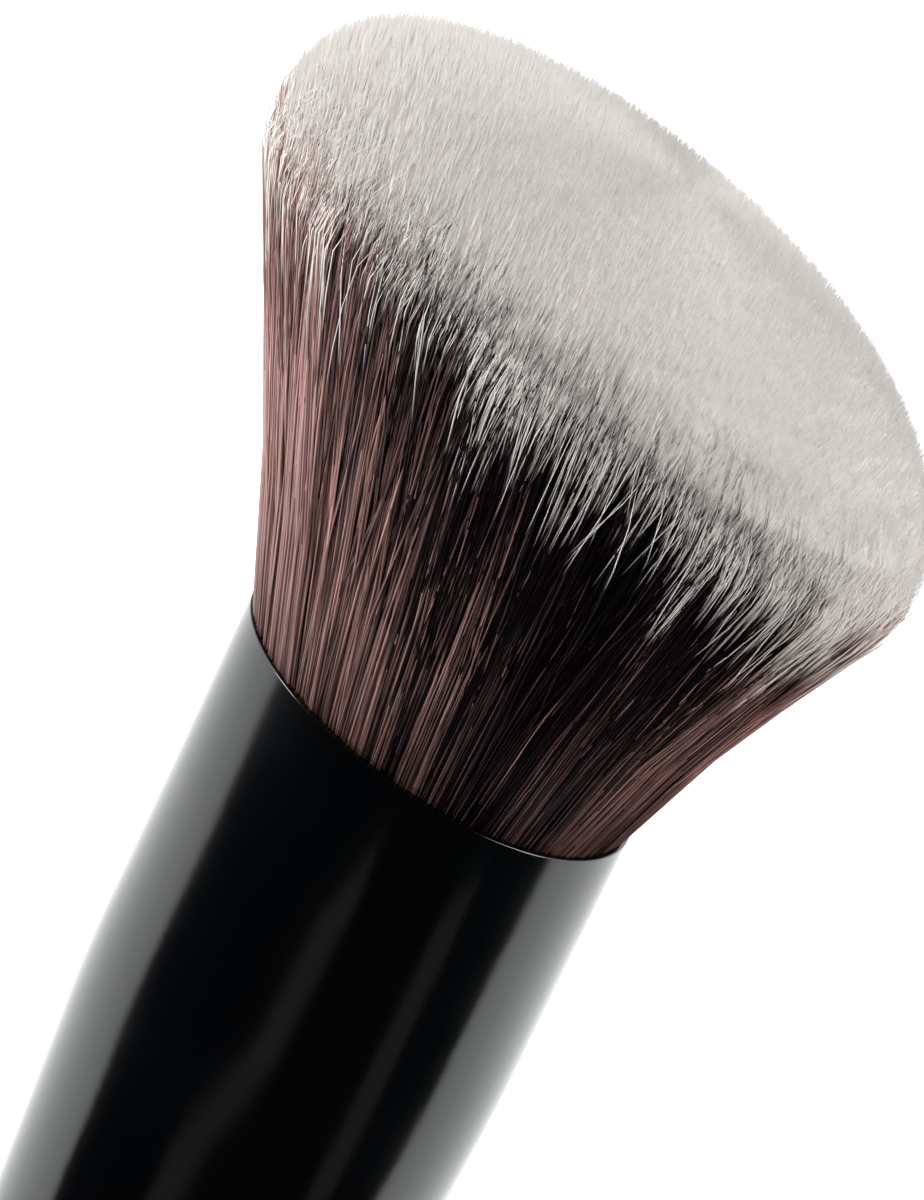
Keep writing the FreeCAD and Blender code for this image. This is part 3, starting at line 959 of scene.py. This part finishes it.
class BrushStageSettings(bpy.types.PropertyGroup):
    table_tone: FloatVectorProperty(
        name="Table", description="Colour of the table", default=(0.5, 0.5, 0.5), size=3,
        min=0.0, max=1.0, subtype="COLOR")
    table_glow: FloatProperty(
        name="Table glow", description="Light that the table gives beside the brush",
        default=1.6, min=0.0, max=10.0)
    window_light: FloatProperty(
        name="Window light", description="Brightness of the low softbox beside the long side",
        default=17.5, min=0.0, max=50.0)
    top_light: FloatProperty(
        name="Top light", description="Brightness of the softbox over the tips",
        default=4.6, min=0.0, max=50.0)
    side_light: FloatProperty(
        name="Side light", description="Brightness of the low softbox beside the short side",
        default=14.0, min=0.0, max=50.0)
    strip_light: FloatProperty(
        name="Strip light", description="Brightness of the two dim strips that the ferrule mirrors",
        default=0.25, min=0.0, max=5.0)
    camera_distance: FloatProperty(
        name="Camera distance", description="Distance from the camera to the ferrule's mouth",
        default=0.6, min=0.2, max=3.0, subtype="DISTANCE", unit="LENGTH")


class BRUSH_OT_ferrule(bpy.types.Operator):
    """Spin the ferrule, cut its mouth on a slant and round the lip"""
    bl_idname = "brush.ferrule"
    bl_label = "Ferrule"

    def execute(self, context):
        settings = context.scene.brush_ferrule
        coat = black_gloss("black_enamel", settings.enamel, settings.roughness, grain=700.0)
        finished(ferrule_tube(settings.lip_round), coat, "black_enamelled_metal", "ferrule")
        return {"FINISHED"}


class BRUSH_OT_handle(bpy.types.Operator):
    """Spin the handle with its tenon and rounded tail"""
    bl_idname = "brush.handle"
    bl_label = "Handle"

    def execute(self, context):
        settings = context.scene.brush_handle
        coat = black_gloss("black_lacquer", settings.lacquer, settings.roughness, grain=450.0)
        finished(turned_handle(), coat, "black_lacquered_wood", "handle")
        return {"FINISHED"}


class BRUSH_OT_bonding(bpy.types.Operator):
    """Finish the adhesive and the thread that hold the roots inside the ferrule"""
    bl_idname = "brush.bonding"
    bl_label = "Adhesive and thread"

    def execute(self, context):
        for node, material in (("glue_plug", set_adhesive()), ("binding_thread", wound_thread())):
            slots = frame["nodes"][node].data.materials
            slots.clear()
            slots.append(material)
        return {"FINISHED"}


class BRUSH_OT_packed_fibres(bpy.types.Operator):
    """Model the close-packed inside of the fibre bundle"""
    bl_idname = "brush.packed_fibres"
    bl_label = "Packed fibres"

    def execute(self, context):
        settings = context.scene.brush_fibres
        inside = packed_core("packed_fibres")
        material = packed_fibre_shade(settings.brown, settings.pale)
        finished(inside, material, "brown_fibre", "fibre_body", "fibre_tips")
        return {"FINISHED"}


class BRUSH_OT_flank_strands(bpy.types.Operator):
    """Lay the long strands of the flank in three layers"""
    bl_idname = "brush.flank_strands"
    bl_label = "Flank strands"

    def execute(self, context):
        settings = context.scene.brush_fibres
        rng = np.random.default_rng(settings.seed)
        layers = [flank_layer(rng, settings, **layer) for layer in FLANK_LAYERS]
        strands = [np.concatenate(parts) for parts in zip(*layers)]
        material = fibre_dye_and_shade(settings.brown, settings.pale)
        by_side("flank_strands", strands, material, "brown_fibre", "fibre_body", "fibre_tips")
        return {"FINISHED"}


class BRUSH_OT_crown_strands(bpy.types.Operator):
    """Stand the tips of the inner strands on the slanted dome"""
    bl_idname = "brush.crown_strands"
    bl_label = "Crown strands"

    def execute(self, context):
        settings = context.scene.brush_fibres
        rng = np.random.default_rng(settings.seed + 1)
        strands = crown_layer(rng, settings.crown_strands, 0.8 * settings.radius)
        by_side("crown_strands", strands, bpy.data.materials["fibre_dye_and_shade"], "pale_fibre", "fibre_tips")
        return {"FINISHED"}


class BRUSH_OT_stray_strands(bpy.types.Operator):
    """Scatter a few loose strands over the head"""
    bl_idname = "brush.stray_strands"
    bl_label = "Stray strands"

    def execute(self, context):
        settings = context.scene.brush_fibres
        rng = np.random.default_rng(settings.seed + 2)
        material = bpy.data.materials["fibre_dye_and_shade"]
        pale = stray_layer(rng, settings.strays, settings.radius, **PALE_STRAYS)
        finished(laid_strands("pale_strays", *pale), material, "pale_fibre", "fibre_tips")
        brown = stray_layer(rng, settings.strays // 3, 0.6 * settings.radius, **BROWN_STRAYS)
        finished(laid_strands("brown_strays", *brown), material, "brown_fibre", "fibre_body")
        return {"FINISHED"}


class BRUSH_OT_stage(bpy.types.Operator):
    """Set the white table, the soft lights and the photograph's camera"""
    bl_idname = "brush.stage"
    bl_label = "Stage"

    def execute(self, context):
        settings = context.scene.brush_stage
        white_table(settings.table_tone, settings.table_glow)
        dim_room()
        context.scene.view_settings.view_transform = "Standard"
        for name, place, size, brightness, mirrored in SOFTBOXES:
            radiance = getattr(settings, brightness)
            light = soft_light(name, HEAD_CENTRE + Vector(place), HEAD_CENTRE, size, radiance)
            light.visible_glossy = mirrored
        for name, place, along, size, share in STRIPS:
            soft_light(name, TO_FRAME @ Vector(place), MOUTH_CENTRE, size, share * settings.strip_light,
                       TO_FRAME.to_3x3() @ Vector(along))
        photo_camera(settings.camera_distance)
        return {"FINISHED"}


class BRUSH_PT_panel(bpy.types.Panel):
    bl_label = "Blush brush"
    bl_idname = "BRUSH_PT_panel"
    bl_space_type = "VIEW_3D"
    bl_region_type = "UI"
    bl_category = "Brush"

    def draw(self, context):
        scene = context.scene
        for settings in (scene.brush_fibres, scene.brush_ferrule, scene.brush_handle, scene.brush_stage):
            column = self.layout.column()
            for name in settings.__annotations__:
                column.prop(settings, name)
        for step in STEPS:
            self.layout.operator(step.bl_idname)


SETTINGS = {
    "brush_fibres": BrushFibreSettings,
    "brush_ferrule": BrushFerruleSettings,
    "brush_handle": BrushHandleSettings,
    "brush_stage": BrushStageSettings,
}
STEPS = (
    BRUSH_OT_ferrule,
    BRUSH_OT_handle,
    BRUSH_OT_bonding,
    BRUSH_OT_packed_fibres,
    BRUSH_OT_flank_strands,
    BRUSH_OT_crown_strands,
    BRUSH_OT_stray_strands,
    BRUSH_OT_stage,
)


def register():
    for name, settings in SETTINGS.items():
        bpy.utils.register_class(settings)
        setattr(bpy.types.Scene, name, PointerProperty(type=settings))
    for step in STEPS:
        bpy.utils.register_class(step)
    bpy.utils.register_class(BRUSH_PT_panel)


def unregister():
    bpy.utils.unregister_class(BRUSH_PT_panel)
    for step in reversed(STEPS):
        bpy.utils.unregister_class(step)
    for name, settings in SETTINGS.items():
        delattr(bpy.types.Scene, name)
        bpy.utils.unregister_class(settings)


def main():
    register()
    bpy.ops.brush.ferrule()
    bpy.ops.brush.handle()
    bpy.ops.brush.bonding()
    bpy.ops.brush.packed_fibres()
    bpy.ops.brush.flank_strands()
    bpy.ops.brush.crown_strands()
    bpy.ops.brush.stray_strands()
    bpy.ops.brush.stage()


if __name__ == "__main__":
    main()
